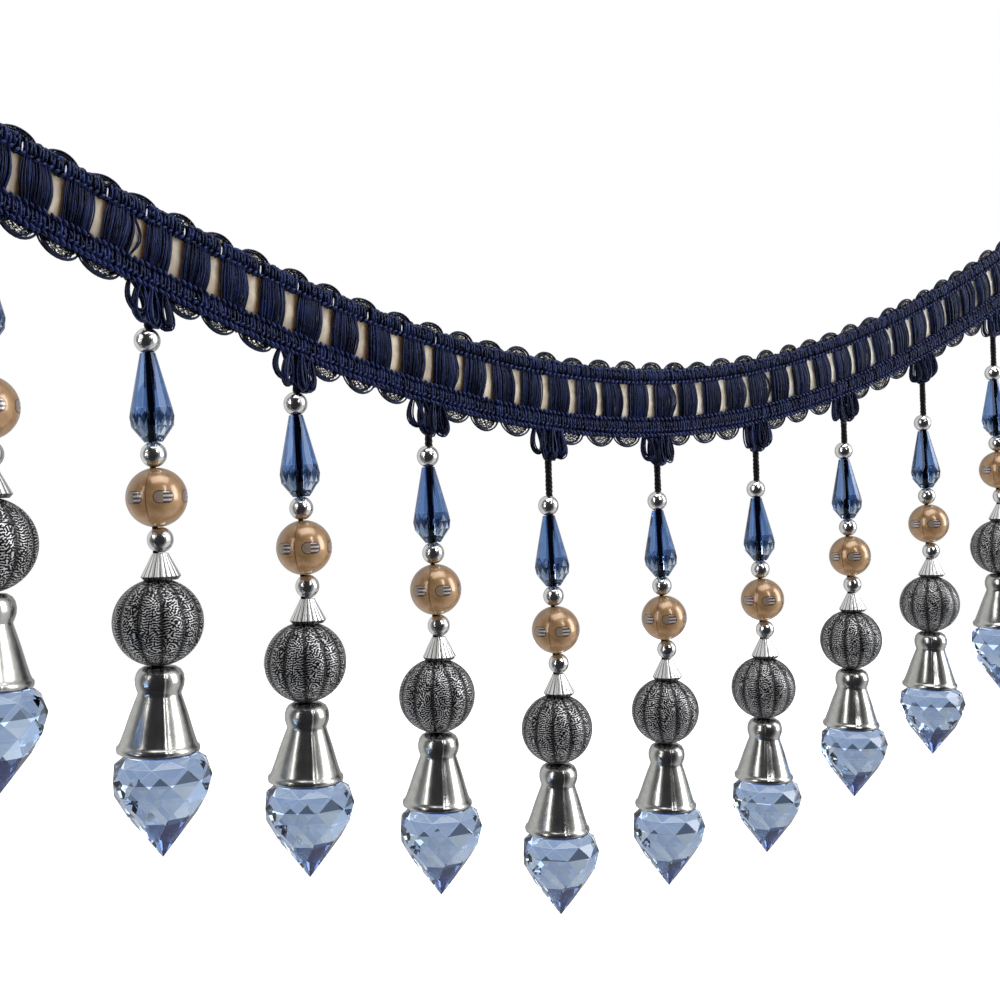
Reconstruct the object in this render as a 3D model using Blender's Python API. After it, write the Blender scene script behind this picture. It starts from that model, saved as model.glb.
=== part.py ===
"""A beaded fringe trim, hung in a swag: a woven gimp heading with picot edges, and ten strung bead drops."""

import math

import bmesh
import bpy
import numpy as np

# Driving dimensions in millimetres. X runs along the trim, Y to the back and Z up.
# The origin is at the heading's top edge, halfway along the trim.
MM = 0.001
GAP = 0.3
DROP_PITCH = 34.0
DROPS = 10
HALF_LENGTH = DROPS * DROP_PITCH / 2
BARS = 41
BAR_PITCH = 2 * HALF_LENGTH / BARS
BAR_DRIFT = (
    # distance along the trim, and how far the windows there have slipped from even spacing
    (-170.0, 0.0), (-145.0, -2.2), (-104.0, -1.9), (-54.0, 2.4), (128.0, 2.4), (145.0, 0.0), (170.0, 0.0),
)

# How the heading hangs: its depth and its climb from its middle, and how much of its full width it keeps.
# UPRIGHT says how the bars stand where it slopes: at 0 they are square to it, and at 1 they are upright.
SWAG = (
    # x, depth, climb, width kept
    (-160.0, -20.5, 44.0, 0.88),
    (-80.0, -5.5, 14.9, 0.95),
    (0.0, 0.0, 0.0, 1.0),
    (80.0, -1.0, 10.2, 1.0),
    (160.0, -6.5, 45.2, 0.97),
)
UPRIGHT = 0.6

# The heading across its width, measured up from its middle line
HEADING_HALF = 8.7
UPPER_RAIL = 3.8
LOWER_RAIL = 4.9
RAIL_DEPTH = 2.6
RAIL_ROUND = 0.7
RIBBON_DEPTH = 1.0
PANEL_LOW = -HEADING_HALF + LOWER_RAIL
PANEL_HIGH = HEADING_HALF - UPPER_RAIL
BAR_DEPTH = 1.1
BAR_BULGE = 0.7
BAR_WIDTH = 5.5
BAR_WAIST = 0.55
BAR_TIE = 0.5

# The picots along both edges, and the loops of yarn that each drop hangs from
PICOT_DEPTH = 1.4
PICOT_ROOT = 0.6
UPPER_PICOT = 2.0
UPPER_PICOT_BACK = 0.3
UPPER_PICOT_SHIFT = 1.0
LOWER_PICOT = 2.0
LOWER_PICOT_BACK = 0.4
LOWER_PICOT_PITCH = DROP_PITCH / 4
PICOT_PARTS = 4
PICOT_FULLNESS = 0.7
TUFT_SHIFT = 0.8
TUFT_LOOPS = (
    # left edge and right edge from the cord, length, spread of its belly
    (-3.4, -1.4, 5.4, 1.2),
    (1.4, 3.1, 5.2, 1.15),
    (3.6, 4.9, 4.2, 1.2),
)
TUFT_BELLY = 0.55
TUFT_BELLY_DEPTH = 2.6
TUFT_TIP_WIDTH = 0.6
TUFT_TIP_DEPTH = 0.5

# The cord from the heading's lower edge to each drop's first ball, from left to right
CORDS = (3.0, 7.3, 7.3, 9.3, 15.6, 14.0, 15.2, 13.1, 17.0, 16.2)
CORD_RADIUS = 0.7
BORE_RADIUS = 1.0

# What is strung on each cord, from the top down. A profile gives diameters and their depths below the bead's top.
BALL = 5.0
TEARDROP_LENGTH = 16.9
TEARDROP_NECK = 2.9
TEARDROP_PROFILE = ((TEARDROP_NECK, GAP), (8.0, 10.4), (8.5, 12.8), (TEARDROP_NECK, TEARDROP_LENGTH - GAP))
PEARL_WIDTH = 12.0
PEARL_HEIGHT = 11.4
CAP_HEIGHT = 4.6
CAP_TOP = 2.9
CAP_RIM = 7.5
CAP_LIP = 6.2
CAP_LIP_HEIGHT = 1.0
LACE_WIDTH = 17.8
LACE_HEIGHT = 16.8
LACE_GROOVES = 12
LACE_GROOVE_DEPTH = 0.35
BELL_HEIGHT = 16.6
BELL_PROFILE = ((7.8, GAP), (9.3, 2.7), (8.3, 5.3), (11.8, 10.5), (15.5, 15.8), (14.6, BELL_HEIGHT))
CRYSTAL_HEIGHT = 19.8
CRYSTAL_PROFILE = ((14.6, GAP), (19.0, 5.1), (15.2, 10.6), (0.0, CRYSTAL_HEIGHT + GAP))
CRYSTAL_BORE = 3.5

# How finely the turned pieces are cut: sides around, and bands from hole to hole
SPINE_SIDES = 8
FACETED_SIDES = 8
PEARL_SIDES = 12
BALL_BANDS = 4
BEAD_BANDS = 5


def material(name, colour, roughness, metallic=0.0):
    made = bpy.data.materials.new(name)
    made.diffuse_color = (*colour, 1.0)
    made.roughness = roughness
    made.metallic = metallic
    made.use_nodes = True
    shader = made.node_tree.nodes["Principled BSDF"]
    shader.inputs["Base Color"].default_value = (*colour, 1.0)
    shader.inputs["Roughness"].default_value = roughness
    shader.inputs["Metallic"].default_value = metallic
    return made


def finish(mesh, name, look, smooth=True):
    """Turns a bmesh in millimetres into a node's object, facing out."""
    bmesh.ops.recalc_face_normals(mesh, faces=mesh.faces)
    bmesh.ops.scale(mesh, vec=(MM, MM, MM), verts=mesh.verts)
    data = bpy.data.meshes.new(name)
    mesh.to_mesh(data)
    mesh.free()
    data.materials.append(look)
    if smooth:
        data.shade_smooth()
        data.set_sharp_from_angle(angle=math.radians(40))
    made = bpy.data.objects.new(name, data)
    bpy.context.scene.collection.objects.link(made)
    return made


def swag_curve():
    """The middle line as points along the trim, each with its distance along the line and the width kept."""
    x, depth, climb, kept = np.array(SWAG).T
    along = np.linspace(-1.1 * HALF_LENGTH, 1.1 * HALF_LENGTH, 1001)
    order = len(SWAG) - 1
    line = np.stack([
        along,
        np.polyval(np.polyfit(x, depth, order), along),
        np.polyval(np.polyfit(x, climb, order), along) - HEADING_HALF,
    ], axis=1)
    steps = np.linalg.norm(np.diff(line, axis=0), axis=1)
    distance = np.concatenate([[0.0], np.cumsum(steps)])
    distance -= np.interp(0.0, along, distance)
    return distance, line, np.interp(along, x, kept)


DISTANCE, LINE, KEPT = swag_curve()


def on_heading(s, up, out):
    """A point at distance s along the trim, up from its middle line and out from its flat back."""
    here, ahead = [np.array([np.interp(at, DISTANCE, LINE[:, axis]) for axis in range(3)]) for at in (s, s + 1.0)]
    tangent = (ahead - here) / np.linalg.norm(ahead - here)
    rise = np.array([0.0, 0.0, 1.0]) - (1.0 - UPRIGHT) * tangent[2] * tangent
    rise /= np.linalg.norm(rise)
    front = np.cross(tangent, rise)
    front /= np.linalg.norm(front)
    return here + up * np.interp(s, DISTANCE, KEPT) * rise + out * front


def swept(mesh, stations, section):
    """A closed bar: section(s) gives its outline at distance s, as pairs of up and out."""
    rings = [[mesh.verts.new(on_heading(s, up, out)) for up, out in section(s)] for s in stations]
    for ring, following in zip(rings, rings[1:]):
        for i in range(len(ring)):
            j = (i + 1) % len(ring)
            mesh.faces.new((ring[i], ring[j], following[j], following[i]))
    mesh.faces.new(rings[0])
    mesh.faces.new(rings[-1])
    return rings


def rail(name, low, high, look):
    """A woven rail of the heading, flat at the back, with its front edges rounded off."""
    outline = (
        (low, 0.0),
        (low, RAIL_DEPTH - RAIL_ROUND),
        (low + RAIL_ROUND, RAIL_DEPTH),
        (high - RAIL_ROUND, RAIL_DEPTH),
        (high, RAIL_DEPTH - RAIL_ROUND),
        (high, 0.0),
    )
    mesh = bmesh.new()
    swept(mesh, np.linspace(-HALF_LENGTH, HALF_LENGTH, 2 * DROPS + 1), lambda s: outline)
    return finish(mesh, name, look)


def ribbon(look):
    """The flat ribbon that shows between the bars."""
    low, high = PANEL_LOW + GAP, PANEL_HIGH - GAP
    outline = ((low, 0.0), (low, RIBBON_DEPTH), (high, RIBBON_DEPTH), (high, 0.0))
    mesh = bmesh.new()
    swept(mesh, np.linspace(-HALF_LENGTH, HALF_LENGTH, 2 * DROPS + 1), lambda s: outline)
    return finish(mesh, "ribbon", look)


def window_lines():
    """The middles of the windows between the bars, with the trim's two ends."""
    even = -HALF_LENGTH + BAR_PITCH * np.arange(BARS + 1)
    return even + np.interp(even, *np.array(BAR_DRIFT).T)


WINDOWS = window_lines()


def yarn_bars(look):
    """Bars of yarn over the ribbon, fuller at mid height, tied into one row at both ends."""
    mesh = bmesh.new()
    inner = RIBBON_DEPTH + GAP
    outer = inner + BAR_DEPTH
    rows = (
        # height, half width, front
        (PANEL_LOW + GAP, BAR_WIDTH / 2, outer),
        (PANEL_LOW + GAP + BAR_TIE, BAR_WIDTH / 2, outer),
        ((PANEL_LOW + PANEL_HIGH) / 2, BAR_WIDTH / 2 + BAR_WAIST, outer + BAR_BULGE),
        (PANEL_HIGH - GAP - BAR_TIE, BAR_WIDTH / 2, outer),
        (PANEL_HIGH - GAP, BAR_WIDTH / 2, outer),
    )
    columns = []
    for before, after in zip(WINDOWS, WINDOWS[1:]):
        middle = (before + after) / 2
        for side in (-1, 1):
            fronts = [mesh.verts.new(on_heading(middle + side * half, up, out)) for up, half, out in rows]
            backs = [mesh.verts.new(on_heading(middle + side * half, up, inner)) for up, half, out in rows]
            columns.append((fronts, backs))
    # Odd gaps between columns are the windows, closed by the ties alone.
    for i, ((fronts, backs), (next_fronts, next_backs)) in enumerate(zip(columns, columns[1:])):
        is_bar = i % 2 == 0
        for k in range(4) if is_bar else (0, 3):
            mesh.faces.new((fronts[k], fronts[k + 1], next_fronts[k + 1], next_fronts[k]))
            mesh.faces.new((backs[k], backs[k + 1], next_backs[k + 1], next_backs[k]))
        for k in (0, 4) if is_bar else (0, 1, 3, 4):
            mesh.faces.new((fronts[k], next_fronts[k], next_backs[k], backs[k]))
    for i, (fronts, backs) in enumerate(columns):
        at_end = i in (0, len(columns) - 1)
        for k in range(4) if at_end else (1, 2):
            mesh.faces.new((fronts[k], fronts[k + 1], backs[k + 1], backs[k]))
    return finish(mesh, "yarn_bars", look)


def scallop(position):
    """How far a picot stands out, from 0 where it starts to 1 in its middle, and back to 0."""
    return math.sin(math.pi * position) ** PICOT_FULLNESS


def upper_picots(look):
    """Arched picots along the top edge, one by each window between two bars."""
    root = HEADING_HALF + GAP
    counts = np.arange(BARS + 1)
    stations = np.interp(np.arange(BARS * PICOT_PARTS + 1) / PICOT_PARTS, counts, WINDOWS) + UPPER_PICOT_SHIFT
    stations = [-HALF_LENGTH, *stations[:-1], HALF_LENGTH]

    def section(s):
        reach = scallop((np.interp(s - UPPER_PICOT_SHIFT, WINDOWS, counts) + 0.5) % 1.0)
        top = root + PICOT_ROOT + UPPER_PICOT * reach
        return (
            (root, UPPER_PICOT_BACK),
            (root, UPPER_PICOT_BACK + PICOT_DEPTH),
            (top, UPPER_PICOT_BACK + PICOT_DEPTH / 2),
        )

    mesh = bmesh.new()
    swept(mesh, stations, section)
    return finish(mesh, "upper_picots", look)


def lower_edge(look):
    """Picots along the lower edge, three between each pair of drops, with a tuft of yarn loops at each drop."""
    root = -HEADING_HALF - GAP
    back, front = LOWER_PICOT_BACK, LOWER_PICOT_BACK + PICOT_DEPTH
    closest = 0.05
    stations = [-HALF_LENGTH, HALF_LENGTH]
    loops = []
    for drop in range(DROPS):
        middle = -HALF_LENGTH + (drop + 0.5) * DROP_PITCH
        for left, right, length, belly in TUFT_LOOPS:
            room = CORDS[drop] - PICOT_ROOT - 2 * GAP
            loops.append((middle + left, middle + right, min(length, room), belly))
            stations += [middle + left, middle + right]
        for part in range(3 * PICOT_PARTS + 1):
            beside = TUFT_SHIFT + (0.5 + part / PICOT_PARTS) * LOWER_PICOT_PITCH
            stations.append(middle + beside)
    stations = sorted(s if s <= HALF_LENGTH else s - 2 * HALF_LENGTH for s in stations)
    stations = stations[:1] + [s for before, s in zip(stations, stations[1:]) if s - before > closest]

    def section(s):
        past_tuft = (s + HALF_LENGTH - DROP_PITCH / 2 - TUFT_SHIFT) / LOWER_PICOT_PITCH - 0.5
        reach = scallop(past_tuft % 1.0) if past_tuft % 4.0 < 3.0 else 0.0
        low = root - PICOT_ROOT - LOWER_PICOT * reach
        return ((root, back), (root, front), (low, front), (low, back))

    mesh = bmesh.new()
    rings = swept(mesh, stations, section)
    mesh.verts.ensure_lookup_table()
    for left, right, length, belly in loops:
        first = min(range(len(stations)), key=lambda i: abs(stations[i] - left))
        corners = {rings[first][2], rings[first][3], rings[first + 1][2], rings[first + 1][3]}
        face = next(f for f in mesh.faces if set(f.verts) == corners)
        for share, width, depth in (
            (TUFT_BELLY, belly, TUFT_BELLY_DEPTH),
            (1.0 - TUFT_BELLY, TUFT_TIP_WIDTH, TUFT_TIP_DEPTH),
        ):
            face = bmesh.ops.extrude_discrete_faces(mesh, faces=[face])["faces"][0]
            centre = face.calc_center_median()
            along = on_heading(right, 0.0, 0.0) - on_heading(left, 0.0, 0.0)
            along /= np.linalg.norm(along)
            for vertex in face.verts:
                offset = np.array(vertex.co - centre)
                beside = offset.dot(along) * along
                across = offset - beside
                moved = np.array(centre) + width * beside + depth * across
                vertex.co = moved - np.array((0.0, 0.0, share * length))
    return finish(mesh, "lower_edge", look)


def turned(name, rings, sides, place, look, bored=False, smooth=True):
    """A closed turned solid, from rings of radius and height. A bored one joins its last ring to its first."""
    mesh = bmesh.new()
    loops = []
    for radius, height in rings:
        if radius == 0.0:
            loops.append([mesh.verts.new(place + np.array((0.0, 0.0, height)))])
            continue
        loops.append([])
        for side in range(sides):
            angle = 2 * math.pi * side / sides
            here = np.array((radius * math.cos(angle), radius * math.sin(angle), height))
            loops[-1].append(mesh.verts.new(place + here))
    pairs = list(zip(loops, loops[1:]))
    if bored:
        pairs.append((loops[-1], loops[0]))
    for ring, following in pairs:
        for i in range(sides):
            j = (i + 1) % sides
            corners = [ring[i % len(ring)], ring[j % len(ring)], following[j % len(following)],
                       following[i % len(following)]]
            mesh.faces.new(list(dict.fromkeys(corners)))
    return finish(mesh, name, look, smooth)


def ball_rings(top, width, height, hole, parts):
    """The rings of a round bead from its top hole to its bottom hole."""
    start = math.asin(2 * hole / width)
    rings = []
    for part in range(parts + 1):
        angle = start + (math.pi - 2 * start) * part / parts
        rings.append((width / 2 * math.sin(angle), top - height / 2 * (1 - math.cos(angle))))
    return rings


def profile_rings(profile, top):
    return [(width / 2, top - depth) for width, depth in profile]


def lace_bead(number, place, top, look):
    """The large round bead, with grooves from hole to hole."""
    mesh = bmesh.new()
    loops = []
    for radius, height in ball_rings(top, LACE_WIDTH, LACE_HEIGHT - 2 * GAP, BORE_RADIUS, BEAD_BANDS):
        loops.append([])
        for side in range(2 * LACE_GROOVES):
            angle = math.pi * side / LACE_GROOVES
            cut = LACE_GROOVE_DEPTH * (side % 2) * radius / (LACE_WIDTH / 2)
            here = np.array(((radius - cut) * math.cos(angle), (radius - cut) * math.sin(angle), height))
            loops[-1].append(mesh.verts.new(place + here))
    for ring, following in zip(loops, loops[1:] + loops[:1]):
        for i in range(len(ring)):
            j = (i + 1) % len(ring)
            mesh.faces.new((ring[i], ring[j], following[j], following[i]))
    return finish(mesh, f"mesh_bead_{number}", look)


def drop(number, place, cord, looks):
    """One drop below the point place: the silver spine on its cord, and the four beads around it."""
    ball_1 = -cord
    teardrop = ball_1 - BALL
    ball_2 = teardrop - TEARDROP_LENGTH
    pearl = ball_2 - BALL
    ball_3 = pearl - PEARL_HEIGHT
    cap = ball_3 - BALL
    lace = cap - CAP_HEIGHT - GAP
    bell = lace - LACE_HEIGHT
    crystal = bell - BELL_HEIGHT

    # The cord starts clear of the edge that it hangs from, and ends inside the crystal.
    start = -PICOT_ROOT - 2.5 * GAP
    end = crystal - CRYSTAL_BORE + 2 * GAP
    spine = [(0.0, start), (CORD_RADIUS, start)]
    for top in (ball_1, ball_2, ball_3):
        spine += ball_rings(top, BALL, BALL, CORD_RADIUS, BALL_BANDS)
    spine += [
        (CAP_TOP / 2, cap),
        (CAP_RIM / 2, cap - CAP_HEIGHT),
        (CAP_LIP / 2, cap - CAP_HEIGHT - CAP_LIP_HEIGHT),
        (CORD_RADIUS, lace + GAP),
        (CORD_RADIUS, bell - GAP),
        *profile_rings(BELL_PROFILE, bell),
        (CORD_RADIUS, bell - BELL_HEIGHT),
        (CORD_RADIUS, end),
        (0.0, end),
    ]
    turned(f"spine_{number}", spine, SPINE_SIDES, place, looks["silver"])

    teardrop_rings = [
        (BORE_RADIUS, teardrop - GAP),
        *profile_rings(TEARDROP_PROFILE, teardrop),
        (BORE_RADIUS, ball_2 + GAP),
    ]
    turned(f"teardrop_{number}", teardrop_rings, FACETED_SIDES, place, looks["blue_glass"],
           bored=True, smooth=False)

    pearl_rings = ball_rings(pearl - GAP, PEARL_WIDTH, PEARL_HEIGHT - 2 * GAP, BORE_RADIUS, BEAD_BANDS)
    turned(f"pearl_{number}", pearl_rings, PEARL_SIDES, place, looks["tan_pearl"], bored=True)

    lace_bead(number, place, lace - GAP, looks["mesh_silver"])

    crystal_rings = [
        (0.0, crystal - CRYSTAL_BORE),
        (BORE_RADIUS, crystal - CRYSTAL_BORE),
        (BORE_RADIUS, crystal - GAP),
        *profile_rings(CRYSTAL_PROFILE, crystal),
    ]
    turned(f"crystal_{number}", crystal_rings, FACETED_SIDES, place, looks["pale_crystal"], smooth=False)


for leftover in list(bpy.data.objects):
    bpy.data.objects.remove(leftover)

navy = material("navy_yarn", (0.012, 0.018, 0.060), 0.7)
rail("upper_rail", HEADING_HALF - UPPER_RAIL, HEADING_HALF, navy)
rail("lower_rail", -HEADING_HALF, -HEADING_HALF + LOWER_RAIL, navy)
ribbon(material("beige_ribbon", (0.55, 0.46, 0.34), 0.6))
yarn_bars(navy)
upper_picots(material("picot_mesh", (0.030, 0.040, 0.050), 0.5))
lower_edge(navy)

drop_looks = {
    "silver": material("silver", (0.62, 0.62, 0.60), 0.2, 1.0),
    "blue_glass": material("blue_glass", (0.06, 0.15, 0.38), 0.1),
    "tan_pearl": material("tan_pearl", (0.48, 0.30, 0.14), 0.3),
    "mesh_silver": material("mesh_silver", (0.16, 0.16, 0.17), 0.4, 0.8),
    "pale_crystal": material("pale_crystal", (0.20, 0.32, 0.60), 0.05),
}
for index, cord_length in enumerate(CORDS):
    middle = -HALF_LENGTH + (index + 0.5) * DROP_PITCH
    hang = on_heading(middle, -HEADING_HALF, LOWER_PICOT_BACK + PICOT_DEPTH / 2)
    drop(index + 1, hang, cord_length, drop_looks)
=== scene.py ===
"""A beaded fringe trim hung in a swag: a woven gimp heading with picot edges, and ten strung bead drops."""

import math

import bmesh
import bpy
import numpy as np
from mathutils import Euler, Matrix, Vector


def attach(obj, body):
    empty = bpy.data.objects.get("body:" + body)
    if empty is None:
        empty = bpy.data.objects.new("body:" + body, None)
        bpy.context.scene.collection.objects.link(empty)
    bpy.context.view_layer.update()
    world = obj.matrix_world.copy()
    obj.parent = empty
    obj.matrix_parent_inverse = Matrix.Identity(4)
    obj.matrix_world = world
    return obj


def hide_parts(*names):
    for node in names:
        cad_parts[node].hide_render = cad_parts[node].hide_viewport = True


# Camera.
# It stands left of the middle of the trim and a little below its heading, and looks to the right along
# the swag, so that the drops on the left are near and those on the right are small.
CAMERA_PLACE = (-0.1801, -0.2430, -0.0324)
CAMERA_TURN = -31.65
CAMERA_ROLL = -1.9


def put_in(name, data):
    """A new object in the scene."""
    thing = bpy.data.objects.new(name, data)
    bpy.context.scene.collection.objects.link(thing)
    return thing


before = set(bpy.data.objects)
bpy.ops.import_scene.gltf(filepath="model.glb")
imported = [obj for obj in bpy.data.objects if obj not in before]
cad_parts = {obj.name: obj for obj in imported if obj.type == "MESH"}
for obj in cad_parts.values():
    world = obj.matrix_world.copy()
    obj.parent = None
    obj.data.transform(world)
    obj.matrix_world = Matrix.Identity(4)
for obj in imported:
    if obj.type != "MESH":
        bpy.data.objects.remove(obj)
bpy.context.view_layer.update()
lens = bpy.data.cameras.new("camera")
lens.lens = 43.2
lens.sensor_width = 36.0
lens.clip_start = 0.01
camera = put_in("camera", lens)
camera.matrix_world = (
    Matrix.Translation(CAMERA_PLACE)
    @ Euler((math.radians(90.0), 0.0, math.radians(CAMERA_TURN))).to_matrix().to_4x4()
    @ Matrix.Rotation(math.radians(CAMERA_ROLL), 4, "Z")
)
bpy.context.scene.camera = camera
bpy.context.scene.view_settings.view_transform = "Standard"

# The swag.
# The trim is pinned up by its heading and sags under the weight of its drops, so every woven row follows
# one curve. Sizes are in millimetres: s along the trim, up from the heading's middle line, out from its back.
MM = 0.001
DROP_PITCH = 34.0
DROPS = 10
HALF_LENGTH = DROPS * DROP_PITCH / 2
HEADING_HALF = 8.7
# 1 keeps the bars upright where the trim climbs, and 0 sets them square to its line.
UPRIGHT = 0.6
SWAG = np.array([
    # x, depth, climb, width kept
    (-160.0, -20.5, 44.0, 0.88),
    (-80.0, -5.5, 14.9, 0.95),
    (0.0, 0.0, 0.0, 1.0),
    (80.0, -1.0, 10.2, 1.0),
    (160.0, -6.5, 45.2, 0.97),
])
order = len(SWAG) - 1
along_x = np.linspace(-1.1 * HALF_LENGTH, 1.1 * HALF_LENGTH, 1001)
LINE = np.stack([
    along_x,
    np.polyval(np.polyfit(SWAG[:, 0], SWAG[:, 1], order), along_x),
    np.polyval(np.polyfit(SWAG[:, 0], SWAG[:, 2], order), along_x) - HEADING_HALF,
], axis=1)
DISTANCE = np.concatenate([[0.0], np.cumsum(np.linalg.norm(np.diff(LINE, axis=0), axis=1))])
DISTANCE -= np.interp(0.0, along_x, DISTANCE)


def unit(vectors):
    return vectors / np.linalg.norm(vectors, axis=-1, keepdims=True)


def line_at(s):
    """Points of the trim's middle line, in millimetres."""
    return np.stack([np.interp(s, DISTANCE, LINE[:, axis]) for axis in range(3)], axis=-1)


def trim_axes(s):
    """The trim's direction, the way up its bars and the way out to the front, at distances s."""
    along = unit(line_at(s + 1.0) - line_at(s))
    rise = unit(np.array([0.0, 0.0, 1.0]) - (1.0 - UPRIGHT) * along[..., 2:] * along)
    return along, rise, unit(np.cross(along, rise))


def on_trim(s, up, out):
    """Points in metres, from distances in millimetres along, up and out."""
    s, up, out = np.broadcast_arrays(*[np.asarray(v, float) for v in (s, up, out)])
    rise, front = trim_axes(s)[1:]
    kept = np.interp(np.interp(s, DISTANCE, along_x), SWAG[:, 0], SWAG[:, 3])
    return MM * (line_at(s) + (up * kept)[..., None] * rise + out[..., None] * front)


# Navy yarn.
# The heading and its loops are bright twisted viscose in a very dark blue. Single strands catch the light,
# so each yarn has its own tone, and its fibres break up the shine.
FIBRES = 2600.0
FIBRE_HEIGHT = 0.00012
PATCHES = (420.0, 900.0)


def feed(tree, node, inputs):
    """Sets a node's inputs. Each is a value, or the output that feeds it."""
    for label, value in inputs.items():
        if isinstance(value, bpy.types.NodeSocket):
            tree.links.new(value, node.inputs[label])
        else:
            node.inputs[label].default_value = value


def add_node(tree, kind, inputs, **settings):
    node = tree.nodes.new(kind)
    for label, value in settings.items():
        setattr(node, label, value)
    feed(tree, node, inputs)
    return node


def new_material(name):
    material = bpy.data.materials.new(name)
    material.use_nodes = True
    tree = material.node_tree
    return material, tree, tree.nodes["Principled BSDF"]


def object_place(tree):
    return add_node(tree, "ShaderNodeTexCoord", {}).outputs["Object"]


def attribute(tree, name):
    """The node that reads one of the mesh's own attributes."""
    return add_node(tree, "ShaderNodeAttribute", {}, attribute_name=name)


def colour_ramp(tree, value, stops):
    """The colour of a value, between stops of a place and a colour."""
    ramp = add_node(tree, "ShaderNodeValToRGB", {"Fac": value})
    while len(ramp.color_ramp.elements) < len(stops):
        ramp.color_ramp.elements.new(0.5)
    for element, (place, colour) in zip(ramp.color_ramp.elements, stops):
        element.position = place
        element.color = (*colour, 1.0)
    return ramp.outputs["Color"]


def calc(tree, operation, *values):
    """The result of one step of arithmetic."""
    return add_node(tree, "ShaderNodeMath", dict(enumerate(values)), operation=operation).outputs[0]


def noise(tree, place, scale, detail=2.0):
    texture = add_node(tree, "ShaderNodeTexNoise", {"Vector": place, "Scale": scale, "Detail": detail})
    return texture.outputs["Fac"]


def bump(tree, height, strength, distance):
    node = add_node(tree, "ShaderNodeBump", {"Strength": strength, "Distance": distance, "Height": height})
    return node.outputs["Normal"]


def yarn_material(name, dark, light, roughness, shine=(0.34, 0.46, 1.0)):
    material, tree, shader = new_material(name)
    place = object_place(tree)
    fibre = noise(tree, place, FIBRES)
    patch = calc(tree, "ADD", *[noise(tree, place, scale) for scale in PATCHES])
    tone = calc(tree, "MULTIPLY", attribute(tree, "tone").outputs["Fac"], calc(tree, "MULTIPLY", fibre, 2.0))
    tone = calc(tree, "MULTIPLY", tone, calc(tree, "POWER", patch, 3.0))
    feed(tree, shader, {
        "Base Color": colour_ramp(tree, tone, ((0.25, dark), (1.0, light))),
        "Roughness": roughness,
        "Specular IOR Level": 0.40,
        "Specular Tint": (*shine, 1.0),
        "Normal": bump(tree, fibre, 0.6, FIBRE_HEIGHT),
    })
    return material


NAVY = yarn_material("navy yarn", (0.0005, 0.0007, 0.0026), (0.0062, 0.0096, 0.0435), 0.26)

# Rails.
# The upper and lower rails of the heading are yarn wrapped over the edge warps, packed side by side. Beside
# each window at the left two wraps of the upper rail part and leave a slit.
BARS = 41
BAR_PITCH = 2 * HALF_LENGTH / BARS
BAR_DRIFT = np.array([
    # distance along the trim, and how far the windows there have slipped from even spacing
    (-170.0, 0.0), (-145.0, -2.2), (-104.0, -1.9), (-54.0, 2.4), (128.0, 2.4), (145.0, 0.0), (170.0, 0.0),
])
even_spacing = -HALF_LENGTH + BAR_PITCH * np.arange(BARS + 1)
WINDOWS = even_spacing + np.interp(even_spacing, BAR_DRIFT[:, 0], BAR_DRIFT[:, 1])
WRAP_PITCH = 0.80
# As for each yarn below: its thickness, and its number of sides.
WRAP = (0.76, 5)
WRAP_OUTLINE = np.array([
    # a wrap's closed outline: the share of the rail's height, and the depth there
    (0.03, 1.2), (0.10, 1.95), (0.35, 2.35), (0.65, 2.35), (0.90, 1.95), (0.97, 1.2),
    (0.90, 0.55), (0.50, 0.40), (0.10, 0.55),
])
HUMP_PITCH = 2.15
WARP_SHARES = (0.10, 0.30, 0.50, 0.70, 0.90)
WARP_DEPTH = 1.35
SLITS_END = -45.0
SLIT_SHIFT = 1.1
SLIT_HALF = 0.54


def start_tree(name, sockets):
    """A new Geometry Nodes tree with these inputs, and its input and output nodes."""
    tree = bpy.data.node_groups.new(name, "GeometryNodeTree")
    tree.is_modifier = True
    for label, kind in sockets:
        tree.interface.new_socket(label, in_out="INPUT", socket_type=kind)
    tree.interface.new_socket("Piece", in_out="OUTPUT", socket_type="NodeSocketGeometry")
    return tree, tree.nodes.new("NodeGroupInput"), tree.nodes.new("NodeGroupOutput")


def end_tree(tree, given, result, geometry):
    """Turns what the tree made into real mesh, with the finish that it was given."""
    real = add_node(tree, "GeometryNodeRealizeInstances", {"Geometry": geometry})
    finish = add_node(tree, "GeometryNodeSetMaterial", {
        "Geometry": real.outputs["Geometry"], "Material": given.outputs["Finish"],
    })
    feed(tree, result, {"Piece": finish.outputs["Geometry"]})
    return tree


def yarn_tree():
    """Round yarn along each run of edges."""
    tree, given, result = start_tree("Yarn along paths", (
        ("Paths", "NodeSocketGeometry"), ("Thickness", "NodeSocketFloat"),
        ("Sides", "NodeSocketInt"), ("Finish", "NodeSocketMaterial"),
    ))
    curve = add_node(tree, "GeometryNodeMeshToCurve", {"Mesh": given.outputs["Paths"]})
    half = add_node(tree, "ShaderNodeMath", {0: given.outputs["Thickness"], 1: 0.5}, operation="MULTIPLY")
    ring = add_node(tree, "GeometryNodeCurvePrimitiveCircle", {
        "Resolution": given.outputs["Sides"], "Radius": half.outputs[0],
    })
    tube = add_node(tree, "GeometryNodeCurveToMesh", {
        "Curve": curve.outputs["Curve"], "Profile Curve": ring.outputs["Curve"], "Fill Caps": True,
    })
    smooth = add_node(tree, "GeometryNodeSetShadeSmooth", {"Geometry": tube.outputs["Mesh"]})
    return end_tree(tree, given, result, smooth.outputs["Geometry"])


YARN = yarn_tree()


def sewn_on(name, mesh, nodes):
    """A piece that rides on the trim's one body and stands for these nodes."""
    piece = put_in(name, mesh)
    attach(piece, "root")
    if nodes:
        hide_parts(*nodes)
    return piece


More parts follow.
